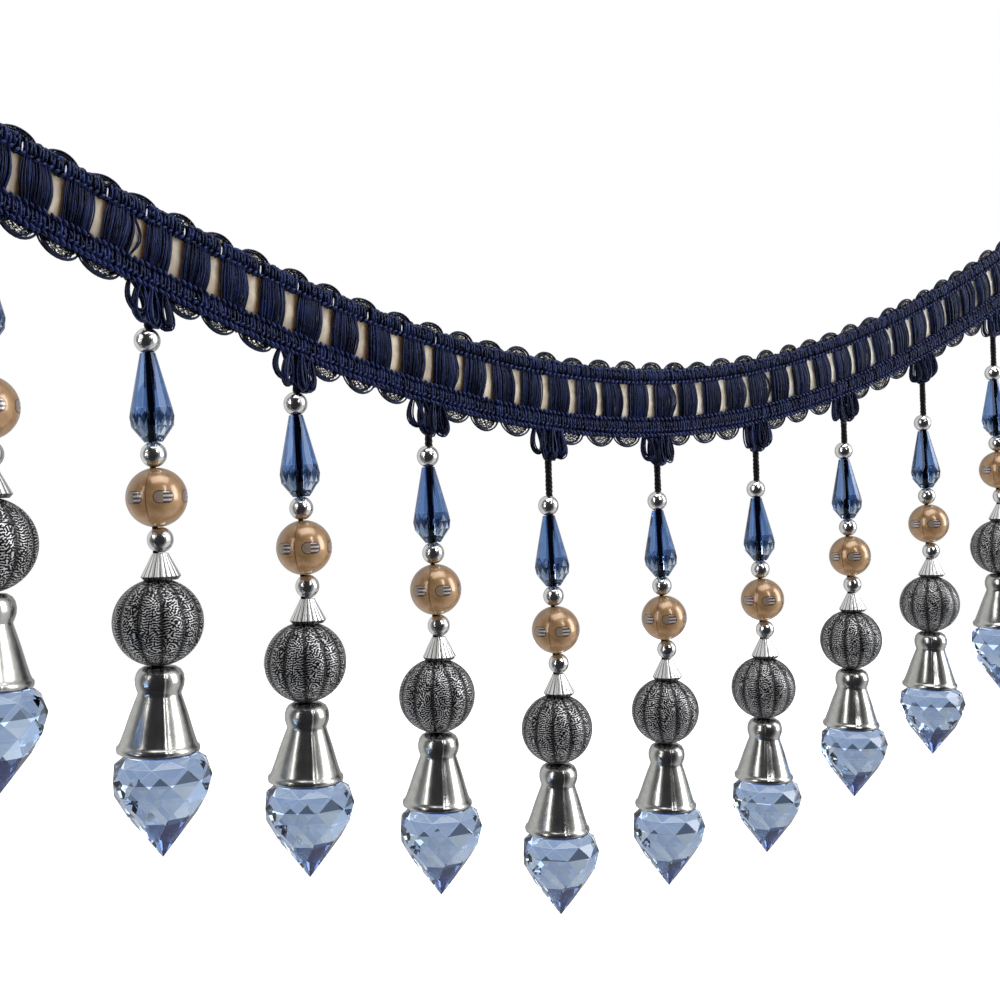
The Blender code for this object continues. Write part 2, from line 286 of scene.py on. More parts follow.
def run_tree(name, mesh, tree, inputs, nodes):
    """The plain mesh that a tree makes from another."""
    carrier = put_in(name + "_carrier", mesh)
    modifier = carrier.modifiers.new("tree", "NODES")
    modifier.node_group = tree
    for item in tree.interface.items_tree:
        if item.name in inputs:
            modifier[item.identifier] = inputs[item.name]
    graph = bpy.context.evaluated_depsgraph_get()
    made = bpy.data.meshes.new_from_object(carrier.evaluated_get(graph))
    made.name = name
    bpy.data.objects.remove(carrier)
    return sewn_on(name, made, nodes)


def yarns(name, paths, yarn, look, slot, *nodes):
    """A piece of yarns of one thickness and number of sides. Each path is its points in metres, whether it
    closes, and its tone."""
    thickness, sides = yarn
    points = np.concatenate([path for path, closed, tone in paths])
    edges, tones, at = [], [], 0
    for path, closed, tone in paths:
        count = len(path)
        edges += [(at + i, at + i + 1) for i in range(count - 1)]
        if closed:
            edges.append((at + count - 1, at))
        tones += [tone] * count
        at += count
    mesh = bpy.data.meshes.new(name + "_paths")
    mesh.from_pydata(points.tolist(), edges, [])
    mesh.attributes.new("tone", "FLOAT", "POINT").data.foreach_set("value", tones)
    inputs = {"Thickness": thickness * MM, "Sides": sides, "Finish": look}
    return run_tree(name, mesh, YARN, inputs, nodes)


def rail_wraps(name, low, high, hump, slits, seed, *nodes):
    """Wraps from low to high over straight warps, with an upper edge in humps. They leave the slits open."""
    chance = np.random.default_rng(seed)
    share, depth = WRAP_OUTLINE.T
    paths = []
    s = -HALF_LENGTH + 0.35
    while s < HALF_LENGTH - 0.3:
        if not any(abs(s - slit) < SLIT_HALF for slit in slits):
            height = high - low + hump * abs(math.sin(math.pi * s / HUMP_PITCH))
            lean = chance.normal(0.0, 0.18)
            up = low + height * share + chance.normal(0.0, 0.06, len(share))
            across = s + lean * (share - 0.5) + chance.normal(0.0, 0.04, len(share))
            out = depth + chance.normal(0.0, 0.11)
            paths.append((on_trim(across, up, out), True, 1.2 * chance.random() ** 1.5))
        s += WRAP_PITCH * chance.uniform(0.8, 1.1)
    warp_s = np.linspace(-HALF_LENGTH + 0.4, HALF_LENGTH - 0.4, 240)
    for warp in WARP_SHARES:
        paths.append((on_trim(warp_s, low + (high - low) * warp, WARP_DEPTH), False, 0.1))
    return yarns(name, paths, WRAP, NAVY, "navy_yarn", *nodes)


window_middles = list(WINDOWS[1:-1])
slit_chance = np.random.default_rng(5)
upper_slits = [s + SLIT_SHIFT + slit_chance.normal(0.0, 0.1) for s in window_middles if s < SLITS_END]
rail_wraps("upper_rail_wraps", 4.9, 8.3, 0.6, upper_slits, 11, "upper_rail")
rail_wraps("lower_rail_wraps", -8.7, -3.8, 0.0, (), 12, "lower_rail")

# Chain stitches.
# Rows of warp yarn bind the wraps: one along each side of the windows, one in the middle of the upper rail,
# a knuckled one along the top, and three slanted ones that make the braided lower edge.
STITCH_SLIP = 0.05
STITCH_CLEAR = 0.85
STITCH_ROWS = (
    # name, up, out, pitch, length, thickness, slant in degrees, unevenness, seed, tone, slits left open
    ("upper_window_stitches", 5.10, 2.60, 1.30, 1.40, 0.75, 40.0, 0.04, 21, 1.7, ()),
    ("upper_middle_stitches", 6.60, 2.50, 1.45, 1.30, 0.60, 70.0, 0.30, 22, 0.6, upper_slits),
    ("top_knuckles", 8.10, 2.05, 1.45, 1.75, 1.10, 22.0, 0.12, 23, 0.9, upper_slits),
    ("lower_window_stitches", -4.15, 2.60, 1.30, 1.45, 0.75, -40.0, 0.04, 24, 1.7, ()),
    ("braid_upper_stitches", -5.90, 2.45, 1.35, 1.30, 0.58, -62.0, 0.20, 25, 0.6, ()),
    ("braid_middle_stitches", -7.15, 2.60, 1.20, 1.45, 0.66, 42.0, 0.06, 26, 1.2, ()),
    ("braid_lower_stitches", -8.25, 2.40, 1.20, 1.75, 0.90, -38.0, 0.05, 27, 1.5, ()),
)


def placed_tree():
    """A copy of one shape at each point, turned by its own front and along, and scaled by its size."""
    tree, given, result = start_tree("Shape at points", (
        ("Points", "NodeSocketGeometry"), ("Shape", "NodeSocketObject"), ("Finish", "NodeSocketMaterial"),
    ))
    points = add_node(tree, "GeometryNodeMeshToPoints", {"Mesh": given.outputs["Points"]})
    shape = add_node(tree, "GeometryNodeObjectInfo", {"Object": given.outputs["Shape"]})
    front, along, size = [
        add_node(tree, "GeometryNodeInputNamedAttribute", {"Name": label}, data_type="FLOAT_VECTOR")
        for label in ("front", "along", "size")
    ]
    turn = add_node(tree, "FunctionNodeAxesToRotation", {
        "Primary Axis": front.outputs["Attribute"], "Secondary Axis": along.outputs["Attribute"],
    }, primary_axis="Z", secondary_axis="X")
    copies = add_node(tree, "GeometryNodeInstanceOnPoints", {
        "Points": points.outputs["Points"], "Instance": shape.outputs["Geometry"],
        "Rotation": turn.outputs["Rotation"], "Scale": size.outputs["Attribute"],
    })
    return end_tree(tree, given, result, copies.outputs["Instances"])


PLACED = placed_tree()


def placed(name, shape, points, front, along, size, look, slot, *nodes, tones=None):
    """A piece of copies of one shape, each with its own front, direction and size."""
    mesh = bpy.data.meshes.new(name + "_points")
    mesh.from_pydata(np.asarray(points).tolist(), [], [])
    for label, values in (("front", front), ("along", along), ("size", size)):
        values = np.broadcast_to(np.asarray(values, float), (len(points), 3))
        mesh.attributes.new(label, "FLOAT_VECTOR", "POINT").data.foreach_set("vector", values.ravel())
    if tones is not None:
        mesh.attributes.new("tone", "FLOAT", "POINT").data.foreach_set("value", tones)
    model = put_in(name + "_shape", shape)
    piece = run_tree(name, mesh, PLACED, {"Shape": model, "Finish": look}, nodes)
    bpy.data.objects.remove(model)
    return piece


def stitch_mesh(sides=6, bands=4):
    """One stitch: a plump spindle along X, of length and thickness 1."""
    verts = [(-0.5, 0.0, 0.0)]
    for band in range(1, bands):
        angle = math.pi * band / bands
        for side in range(sides):
            turn = 2 * math.pi * side / sides
            verts.append((-0.5 * math.cos(angle), 0.5 * math.sin(angle) * math.cos(turn),
                          0.5 * math.sin(angle) * math.sin(turn)))
    verts.append((0.5, 0.0, 0.0))
    last = len(verts) - 1
    faces = []
    for side in range(sides):
        following = (side + 1) % sides
        faces.append((0, 1 + following, 1 + side))
        faces.append((last, last - sides + side, last - sides + following))
        for band in range(bands - 2):
            base = 1 + band * sides
            faces.append((base + side, base + following, base + sides + following, base + sides + side))
    mesh = bpy.data.meshes.new("stitch")
    mesh.from_pydata(verts, [], faces)
    mesh.shade_smooth()
    return mesh


def stitch_row(name, up, out, pitch, length, thickness, slant, uneven, seed, tone, slits):
    chance = np.random.default_rng(seed)
    s = np.arange(-HALF_LENGTH + 0.6, HALF_LENGTH - 0.6, pitch)
    s = s[[all(abs(place - slit) > STITCH_CLEAR for slit in slits) for place in s]]
    count = len(s)
    s = s + chance.normal(0.0, STITCH_SLIP, count)
    up = up + chance.normal(0.0, uneven, count)
    points = on_trim(s, up, out + chance.normal(0.0, STITCH_SLIP, count))
    along, rise, front = trim_axes(s)
    angle = np.radians(slant + chance.normal(0.0, 7.0, count))[:, None]
    way = np.cos(angle) * along + np.sin(angle) * rise
    size = MM * np.array([length, thickness, thickness]) * chance.uniform(0.9, 1.12, (count, 1))
    tones = tone * chance.uniform(0.35, 1.15, count)
    return placed(name, stitch_mesh(), points, front, way, size, NAVY, "navy_yarn", tones=tones)


for row in STITCH_ROWS:
    stitch_row(*row)

# Pale threads.
# A short upright length of pale thread stands in each slit of the upper rail.
PALE_THREAD = (2.0, 0.36, 0.40)
PALE_UP = 6.35
PALE_OUT = 2.25


def pale_material():
    material, tree, shader = new_material("pale slit thread")
    feed(tree, shader, {"Base Color": (0.55, 0.58, 0.66, 1.0), "Roughness": 0.45})
    return material


def pale_threads():
    s = np.array(upper_slits)
    rise, front = trim_axes(s)[1:]
    points = on_trim(s, PALE_UP, PALE_OUT)
    placed("pale_threads", stitch_mesh(), points, front, rise, MM * np.array(PALE_THREAD), pale_material(),
           "beige_ribbon")


pale_threads()

# Ribbon.
# A flat woven ribbon lies behind the bars, its edges caught under both rails. Its weave is fine and matt. It
# swells forward in each window, with a slight fold across its middle.
RIBBON_LOW = -4.7
RIBBON_HIGH = 5.8
RIBBON_THICK = 0.5
RIBBON_OUT = 0.75
SWELL = 0.75
FOLD = 0.22
FOLD_MIDDLE = 0.47
FOLD_HALF = 0.06
WEAVE = 26.0


def over(tree, colour, mask, shade):
    """A colour with a plain shade laid over it where the mask is 1."""
    inputs = {"Factor": mask, "A": colour, "B": (*shade, 1.0)}
    return add_node(tree, "ShaderNodeMix", inputs, data_type="RGBA").outputs["Result"]


def ribbon_material():
    material, tree, shader = new_material("beige ribbon")
    flat = add_node(tree, "ShaderNodeUVMap", {}).outputs["UV"]
    split = add_node(tree, "ShaderNodeSeparateXYZ", {"Vector": flat})
    # The map counts millimetres, and the weave has about four threads in each.
    warp = calc(tree, "SINE", calc(tree, "MULTIPLY", split.outputs["Y"], WEAVE))
    weft = calc(tree, "SINE", calc(tree, "MULTIPLY", split.outputs["X"], WEAVE))
    weave = calc(tree, "MULTIPLY", warp, weft)
    stain = noise(tree, object_place(tree), 260.0, 3.0)
    mixed = calc(tree, "ADD", stain, calc(tree, "MULTIPLY", weave, 0.06))
    # Painted light: the ribbon is made a little paler toward the right end of the trim, where its windows get
    # less light.
    mixed = calc(tree, "ADD", mixed, calc(tree, "MULTIPLY", split.outputs["X"], 0.0027))
    beige = colour_ramp(tree, mixed, (
        (0.20, (0.40, 0.34, 0.26)), (0.50, (0.72, 0.62, 0.48)), (0.70, (0.94, 0.88, 0.76)),
    ))
    # Right of each window, where it turns back under the bar, painted shade makes it browner.
    painted_shade = add_node(tree, "ShaderNodeMapRange", {
        "Value": attribute(tree, "window").outputs["Fac"], "From Min": 0.05, "From Max": 0.14,
    })
    feed(tree, shader, {
        "Base Color": over(tree, beige, painted_shade.outputs["Result"], (0.22, 0.12, 0.05)),
        "Roughness": 0.55,
        "Sheen Weight": 0.2,
        "Normal": bump(tree, weave, 0.35, 0.00008),
    })
    return material


def ribbon_piece():
    """A closed sheet: its front, its back and the rim between them."""
    columns, rows = 520, 17
    s = np.linspace(-HALF_LENGTH + 0.1, HALF_LENGTH - 0.1, columns)
    up = np.linspace(RIBBON_LOW, RIBBON_HIGH, rows)
    grid_s, grid_up = np.meshgrid(s, up, indexing="ij")
    # The phase is a whole number in the middle of each window.
    phase = np.interp(grid_s, WINDOWS, np.arange(BARS + 1))
    share = (grid_up - RIBBON_LOW) / (RIBBON_HIGH - RIBBON_LOW)
    swell = SWELL * np.maximum(0.0, np.cos(2 * math.pi * phase)) * np.sin(math.pi * share)
    fold = FOLD * np.exp(-((share - FOLD_MIDDLE - 0.03 * np.sin(3.1 * phase)) / FOLD_HALF) ** 2)
    middle = RIBBON_OUT + np.where((share > 0.12) & (share < 0.88), swell + fold, 0.0)
    front = on_trim(grid_s, grid_up, middle + RIBBON_THICK / 2).reshape(-1, 3)
    back = on_trim(grid_s, grid_up, middle - RIBBON_THICK / 2).reshape(-1, 3)
    total = columns * rows
    faces = []
    for i in range(columns - 1):
        for j in range(rows - 1):
            a, b = i * rows + j, (i + 1) * rows + j
            faces.append((a, b, b + 1, a + 1))
            faces.append((total + a, total + a + 1, total + b + 1, total + b))
    rim = [i * rows for i in range(columns)]
    rim += [(columns - 1) * rows + j for j in range(1, rows)]
    rim += [i * rows + rows - 1 for i in range(columns - 2, -1, -1)]
    rim += [j for j in range(rows - 2, 0, -1)]
    for corner, following in zip(rim, rim[1:] + rim[:1]):
        faces.append((corner, total + corner, total + following, following))
    mesh = bpy.data.meshes.new("ribbon_cloth")
    mesh.from_pydata(np.concatenate([front, back]).tolist(), [], faces)
    layer = mesh.uv_layers.new(name="UVMap")
    corners = np.empty(len(mesh.loops), np.int32)
    mesh.loops.foreach_get("vertex_index", corners)
    flat = np.stack([grid_s.ravel(), grid_up.ravel()], axis=1)
    layer.data.foreach_set("uv", np.concatenate([flat, flat])[corners].ravel())
    # How far a place lies right of its window's middle, where the painted shade falls. The shift hides the
    # brown painted shade at the right end, and the back, which counts 1 less, has none.
    shift = np.interp(grid_s.ravel(), (-60.0, 60.0), (0.0, 0.2))
    beside = (phase.ravel() + 0.5) % 1.0 - 0.5 - shift
    window = mesh.attributes.new("window", "FLOAT", "POINT")
    window.data.foreach_set("value", np.concatenate([beside, beside - 1.0]))
    mesh.shade_smooth()
    mesh.materials.append(ribbon_material())
    return sewn_on("ribbon_cloth", mesh, ["ribbon"])


cloth = ribbon_piece()

# Bars.
# Between the rails the wraps run on as loose bars of fine yarns side by side, in two layers. They bulge at
# mid height and cross a little, and here and there a pair strays across a window.
BAR_YARN = (0.33, 5)
BAR_LOW = -4.4
BAR_HIGH = 5.5
BAR_HALF = 2.50
BAR_SPREAD = 0.50
BAR_LAYERS = (
    # yarns, depth, share of the width, share of the bulge
    (21, 1.80, 1.0, 1.0),
    (13, 1.40, 0.9, 0.6),
)
STRAYS = (
    # window, and how far across it the pair reaches
    (3, 0.5), (6, 1.0), (15, 0.6), (23, 0.8), (26, 0.7), (27, 1.0),
)


def bar_paths():
    chance = np.random.default_rng(31)
    share = np.linspace(0.0, 1.0, 8)
    belly = np.sin(math.pi * share)
    up = BAR_LOW + (BAR_HIGH - BAR_LOW) * share
    paths = []
    for bar in range(BARS):
        middle = (WINDOWS[bar] + WINDOWS[bar + 1]) / 2
        wide = chance.normal(0.0, 0.12)
        lean = chance.normal(0.0, 0.16)
        for count, depth, width_share, bulge_share in BAR_LAYERS:
            for yarn in range(count):
                side = (2 * yarn / (count - 1) - 1.0) * width_share
                sway = 0.10 * np.sin(2 * math.pi * (share * chance.uniform(0.5, 1.4) + chance.random()))
                across = middle + side * (BAR_HALF + (BAR_SPREAD + wide) * belly)
                across = across + (1.0 - 0.5 * abs(side)) * sway * belly
                across = across + lean * (2.0 * share - 1.0)
                crown = math.sqrt(1.0 - 0.9 * side * side)
                out = depth + 0.35 * crown + (0.55 + 0.45 * crown) * belly * bulge_share
                out = out + chance.normal(0.0, 0.12)
                paths.append((on_trim(across, up, out), False, 1.25 * chance.random() ** 2))
    for window, reach in STRAYS:
        across = WINDOWS[window] - 1.5 + 2.0 * reach * belly ** 1.5
        paths.append((on_trim(across, up, 1.9 + 0.4 * belly), False, 0.3))
        paths.append((on_trim(across - 0.35 * belly, up, 1.8 + 0.4 * belly), False, 0.5))
    return paths


yarns("bar_yarns", bar_paths(), BAR_YARN, NAVY, "navy_yarn", "yarn_bars")

# Picots.
# Along both edges dark cords are looped into small arches. Each holds wavy threads of dark yarn and dull
# gold metal, with gaps that show the light.
PICOT_CORD = (0.40, 6)
DARK_THREAD = (0.22, 4)
GOLD_THREAD = (0.19, 4)
PICOT_THREADS = 12
LOWEST_THREAD = 0.18
THREAD_STEP = 0.064
THREAD_WAVE = 0.28
PICOT_SHIFT = 0.7
TUFT_SHIFT = -1.2
LOWER_PITCH = DROP_PITCH / 4


def gold_material():
    material, tree, shader = new_material("gold thread")
    cloud = noise(tree, object_place(tree), 1500.0)
    feed(tree, shader, {
        "Base Color": colour_ramp(tree, cloud, ((0.42, (0.045, 0.045, 0.04)), (0.62, (0.74, 0.68, 0.42)))),
        "Metallic": 1.0,
        "Roughness": 0.3,
    })
    return material


GOLD = gold_material()
DARK_CORD = yarn_material("picot cord", (0.0006, 0.0007, 0.0016), (0.0035, 0.0040, 0.0095), 0.34)


def arch(middle, half, low, reach, out, pointed):
    """An arch from edge to edge of a picot. Reach is below zero where it hangs."""
    share = np.linspace(0.0, 1.0, 13)
    across = middle - half * np.cos(math.pi * share)
    up = low + reach * np.sin(math.pi * share) ** pointed
    return on_trim(across, up, out + 0.25 * np.sin(math.pi * share))


def picot_row(edge, places, half, low, reach, left_share, dark_every, seed, node):
    """A row of picots that keep left_share of their height at the left. One thread in dark_every is dark."""
    chance = np.random.default_rng(seed)
    cords, dark_threads, gold_threads = [], [], []
    share = np.linspace(0.06, 0.94, 26)
    for middle in places:
        tall = reach * chance.uniform(0.85, 1.08) * np.interp(middle, (-120.0, -20.0), (left_share, 1.0))
        wide = half * chance.uniform(0.95, 1.05)
        second = tall - math.copysign(0.1, reach)
        inner = tall - math.copysign(0.55, reach)
        pointed = chance.uniform(1.0, 1.5)
        middle = middle + chance.normal(0.0, 0.25)
        cords.append((arch(middle, wide, low, tall, 1.0, pointed), False, chance.uniform(0.3, 0.9)))
        cords.append((arch(middle + 0.1, wide * 0.93, low, second, 1.45, pointed), False, 0.6))
        cords.append((arch(middle, wide * 0.74, low, inner, 1.2, pointed), False, chance.uniform(0.2, 0.7)))
        for thread in range(PICOT_THREADS):
            across = middle + chance.normal(0.0, 0.1) - wide * 0.78 * np.cos(math.pi * share)
            wave = np.sin(2 * math.pi * (share * chance.uniform(6.0, 9.0) + chance.random()))
            height = tall * (LOWEST_THREAD + THREAD_STEP * thread) * np.sin(math.pi * share) ** pointed
            out = 1.2 + 0.2 * np.cos(2 * math.pi * (share * 8.0 + chance.random()))
            kind = dark_threads if thread % dark_every == 0 else gold_threads
            kind.append((on_trim(across, low + height + THREAD_WAVE * wave, out), False, 0.5))
    yarns(edge + "_picot_cords", cords, PICOT_CORD, DARK_CORD, "picot_mesh", node)
    yarns(edge + "_dark_threads", dark_threads, DARK_THREAD, DARK_CORD, "picot_mesh")
    yarns(edge + "_gold_threads", gold_threads, GOLD_THREAD, GOLD, "picot_mesh")


upper_places = [middle + PICOT_SHIFT for middle in window_middles]
picot_row("upper", upper_places, 3.3, 8.2, 2.2, 0.80, 4, 41, "upper_picots")
drop_middles = [-HALF_LENGTH + (i + 0.5) * DROP_PITCH for i in range(DROPS)]
lower_places = []
for drop_middle in drop_middles:
    for step in (1, 2, 3):
        beside = drop_middle + TUFT_SHIFT + step * LOWER_PITCH
        lower_places.append(beside if beside < HALF_LENGTH else beside - 2 * HALF_LENGTH)
lower_places = [s for s in lower_places if abs(s) < HALF_LENGTH - 3.9]
picot_row("lower", lower_places, 4.0, -8.3, -2.9, 1.0, 2, 42, "lower_edge")

# Tufts.
# Where each drop is tied in, the yarn is thrown into four bunches of drop-shaped loops, the left one the
# most open. They are sewn to the braided edge and hang in front of it.
# The cord that shows above each drop's first ball, from left to right.
CORDS = (3.0, 7.3, 7.3, 9.3, 15.6, 14.0, 15.2, 13.1, 17.0, 16.2)
TUFT_YARN = (0.38, 5)
TUFT_GROUPS = (
    # from the cord, width, length, loops, and the step in size from loop to loop
    (-3.7, 3.5, 6.6, 9, 0.16),
    (-1.7, 3.0, 7.8, 12, 0.26),
    (0.6, 2.9, 7.9, 14, 0.34),
    (2.8, 2.9, 7.2, 14, 0.34),
)
TUFT_NEST = 4


def tuft_paths():
    chance = np.random.default_rng(51)
    turn = np.linspace(0.0, 2 * math.pi, 20, endpoint=False)
    down = (1.0 - np.cos(turn)) / 2
    paths = []
    for middle, cord in zip(drop_middles, CORDS):
        for side, wide, length, count, nest in TUFT_GROUPS:
            axes = trim_axes(np.array([middle + side]))
            root = on_trim(middle + side, -HEADING_HALF + 0.7, 1.5)
            lean = chance.normal(0.0, 0.08)
            group_spin = chance.normal(0.0, 0.35)
            for loop in range(count):
                nested = nest * (loop % TUFT_NEST - 2.4)
                long = min(length, cord + 1.2) * chance.uniform(0.94, 1.03) + nested
                broad = wide * chance.uniform(0.9, 1.1) + 2 * nested
                spin = group_spin + chance.normal(0.0, 0.12)
                beside = broad / 2 * np.sin(turn) * (0.45 + 0.9 * down)
                out = 0.55 * (loop // TUFT_NEST - 1) + 1.1 * down + chance.normal(0.0, 0.1)
                x = beside * math.cos(spin) + lean * long * down
                y = beside * math.sin(spin) + out
                local = x[:, None] * axes[0] + y[:, None] * axes[2]
                path = root + MM * (local - np.outer(down * long, (0.0, 0.0, 1.0)))
                paths.append((path, True, 1.2 * chance.random() ** 2))
    return paths


yarns("tuft_loops", tuft_paths(), TUFT_YARN, NAVY, "navy_yarn")

# Drop cords.
# Each drop hangs on a black, close-twisted cord of three plies, tied into its tuft and knotted inside the
# crystal. It shows whole above the teardrop, and as one ply in the teardrop's bore and between the beads.
PLY = (1.16, 6)
PLY_OFFSET = 0.34
TWIST = 3.2
BALL = 5.0
TEARDROP_LENGTH = 16.9
PEARL_HEIGHT = 11.4
CAP_HEIGHT = 4.6
LACE_HEIGHT = 16.8
BELL_HEIGHT = 16.6
CRYSTAL_HEIGHT = 19.8
GAP = 0.3
PLY_REACH = 0.6
DROP_PIECES = (
    # name, and how far it pushes the next piece down
    ("ball_1", BALL), ("teardrop", TEARDROP_LENGTH), ("ball_2", BALL), ("pearl", PEARL_HEIGHT),
    ("ball_3", BALL), ("cap", CAP_HEIGHT + GAP), ("lace", LACE_HEIGHT), ("bell", BELL_HEIGHT),
    ("crystal", 0.0),
)
hang_points = [on_trim(middle, -HEADING_HALF, 1.1) for middle in drop_middles]


def drop_nodes(kind):
    """The nodes of one kind, one for each drop."""
    return [f"{kind}_{number}" for number in range(1, DROPS + 1)]


def depth_below(cord):
    """How far the top of each piece of a drop lies below the heading's edge, in millimetres."""
    names, heights = zip(*DROP_PIECES)
    return dict(zip(names, cord + np.concatenate([[0.0], np.cumsum(heights)[:-1]])))


def cord_paths():
    paths = []
    for place, cord in zip(hang_points, CORDS):
        depths = depth_below(cord)
        # Where each stretch starts and ends, and its number of plies.
        stretches = [
            (-1.0, depths["teardrop"] - 0.15, 3),
            (depths["teardrop"] - 0.3, depths["ball_2"] + PLY_REACH, 1),
        ]
        for bead in ("pearl", "ball_3", "cap"):
            stretches.append((depths[bead] - PLY_REACH, depths[bead] + PLY_REACH, 1))
        for top, bottom, plies in stretches:
            down = np.linspace(top, bottom, max(3, int((bottom - top) / 0.5)))
            for ply in range(plies):
                turn = 2 * math.pi * (down / TWIST + ply / 3)
                offset = PLY_OFFSET if plies > 1 else 0.0
                around = np.stack([offset * np.cos(turn), offset * np.sin(turn), -down], axis=1)
                paths.append((place + MM * around, False, 0.45 + 0.15 * ply))
    return paths


BLACK_CORD = yarn_material("drop cord", (0.0012, 0.0010, 0.0014), (0.0032, 0.0028, 0.0042), 0.5,
                           shine=(0.30, 0.29, 0.36))
yarns("drop_cords", cord_paths(), PLY, BLACK_CORD, "navy_yarn", *drop_nodes("spine"))

# Silver pieces.
# Three small balls, a fluted cap and a moulded bell on each drop are silver-plated plastic. The plating isn't
# quite even. The bell's is darker, and a mould seam runs down its side.
FLUTES = 20
FLUTE_DEPTHS = {1: 0.02, 2: 0.035, 3: 0.035, 4: 0.03}
SEAM_WIDTH = 0.05
SEAM_HEIGHT = 0.16
CAP_RINGS = (
    (0.8, 0.0), (1.5, 0.05), (2.3, 1.6), (3.75, CAP_HEIGHT - 0.25), (3.82, CAP_HEIGHT - 0.1),
    (3.2, CAP_HEIGHT + 0.6), (0.8, CAP_HEIGHT + 0.6),
)
BELL_RINGS = (
    (0.8, 0.0), (3.0, 0.05), (3.9, 0.6), (4.4, 1.4), (4.65, 2.5), (4.6, 3.6), (4.3, 4.6), (4.08, 5.1),
    (4.2, 5.6), (4.85, 7.4), (5.6, 9.6), (6.4, 12.2), (7.15, 14.4), (7.45, 15.0), (7.78, 15.3),
    (7.85, 15.8), (7.72, 16.3), (7.2, BELL_HEIGHT), (0.8, BELL_HEIGHT),
)
SLACK = {
    # A strung piece never sits quite straight: how far it slips aside, and its lean in degrees.
    "ball_1": (-0.3, 0.0), "teardrop": (-0.3, 2.0), "ball_2": (0.2, 0.0), "pearl": (0.5, 0.0),
    "ball_3": (0.9, 0.0), "cap": (0.8, 0.0), "lace": (0.0, 0.0), "bell": (0.1, -3.0), "crystal": (-0.1, -1.2),
}


def silver_material(name, colour, smooth, rough, grain, waves):
    """Plating that varies from smooth to rough and has shallow waves."""
    material, tree, shader = new_material(name)
    place = object_place(tree)
    cloud = noise(tree, place, 700.0, 3.0)
    spread = add_node(tree, "ShaderNodeMapRange", {"Value": cloud, "To Min": smooth, "To Max": rough})
    feed(tree, shader, {
        "Base Color": colour_ramp(tree, cloud, ((0.3, tuple(0.82 * c for c in colour)), (0.7, colour))),
        "Metallic": 1.0,
        "Roughness": spread.outputs["Result"],
        "Normal": bump(tree, noise(tree, place, grain), waves, 0.0003),
    })
    return material


def lathe(name, rings, sides, radius_at=None, sharp=None):
    """A turned shape, from rings of a radius and a depth. radius_at(angles, radius, ring) may shape a ring,
    and edges sharper than sharp degrees stay crisp."""
    angles = np.linspace(0.0, 2 * math.pi, sides, endpoint=False)
    verts, faces = [], []
    for number, (radius, depth) in enumerate(rings):
        radii = np.full(sides, radius) if radius_at is None else radius_at(angles, radius, number)
        verts += [(MM * r * math.cos(a), MM * r * math.sin(a), -MM * depth) for r, a in zip(radii, angles)]
    for ring in range(len(rings) - 1):
        for i in range(sides):
            j = (i + 1) % sides
            a, b = ring * sides, (ring + 1) * sides
            faces.append((a + i, b + i, b + j, a + j))
    faces.append(tuple(range(sides)))
    faces.append(tuple(len(rings) * sides - 1 - i for i in range(sides)))
    mesh = bpy.data.meshes.new(name)
    mesh.from_pydata(verts, [], faces)
    bead = mesh.attributes.new("bead", "FLOAT_VECTOR", "POINT")
    bead.data.foreach_set("vector", (np.array(verts) / MM).ravel())
    mesh.shade_smooth()
    if sharp is not None:
        mesh.set_sharp_from_angle(angle=math.radians(sharp))
    return mesh


def bead_place(tree):
    """A place on a turned bead: its vector in millimetres, its angle round the bead and its height."""
    place = attribute(tree, "bead").outputs["Vector"]
    split = add_node(tree, "ShaderNodeSeparateXYZ", {"Vector": place})
    return place, calc(tree, "ARCTAN2", split.outputs["Y"], split.outputs["X"]), split.outputs["Z"]


def round_rings(width, height, hole, parts):
    """The rings of a round bead from its top hole to its bottom one. Hole is their radius."""
    start = math.asin(2 * hole / width)
    angles = [start + (math.pi - 2 * start) * part / parts for part in range(parts + 1)]
    return [(width / 2 * math.sin(angle), height / 2 * (1 - math.cos(angle))) for angle in angles]


def strung(name, shape, which, look, slot, nodes, seed, facing=None):
    """A copy of a shape on every drop, at each place that which names. Facing is the angle to the right
    from the viewer to its X axis, in degrees. Without it a copy is turned at random."""
    chance = np.random.default_rng(seed)
    places, ways, fronts = [], [], []
    for place, cord in zip(hang_points, CORDS):
        viewer = np.array(camera.matrix_world.translation) - place
        seen_from = math.atan2(viewer[1], viewer[0])
        right = np.array([-math.sin(seen_from), math.cos(seen_from), 0.0])
        for label in which:
            aside, lean = SLACK[label]
            places.append(place + MM * (aside * right - np.array([0.0, 0.0, depth_below(cord)[label]])))
            turn = chance.uniform(0.0, 2 * math.pi)
            if facing is not None:
                turn = seen_from + math.radians(facing + chance.normal(0.0, 2.0))
            ways.append((math.cos(turn), math.sin(turn), 0.0))
            fronts.append(np.array([0.0, 0.0, 1.0]) - math.radians(lean) * right)
    return placed(name, shape, places, fronts, ways, (1.0, 1.0, 1.0), look, slot, *nodes)


def flutes(angles, radius, ring):
    depth = FLUTE_DEPTHS.get(ring, 0.0)
    return radius * (1.0 - depth * (1.0 - np.abs(np.sin(FLUTES / 2 * angles))))


def seam(angles, radius, ring):
    """The bell's mould seam: a low ridge down one side."""
    away = np.minimum(angles, 2 * math.pi - angles)
    return radius + np.where(away < SEAM_WIDTH, SEAM_HEIGHT, 0.0) * (radius > 2.0)


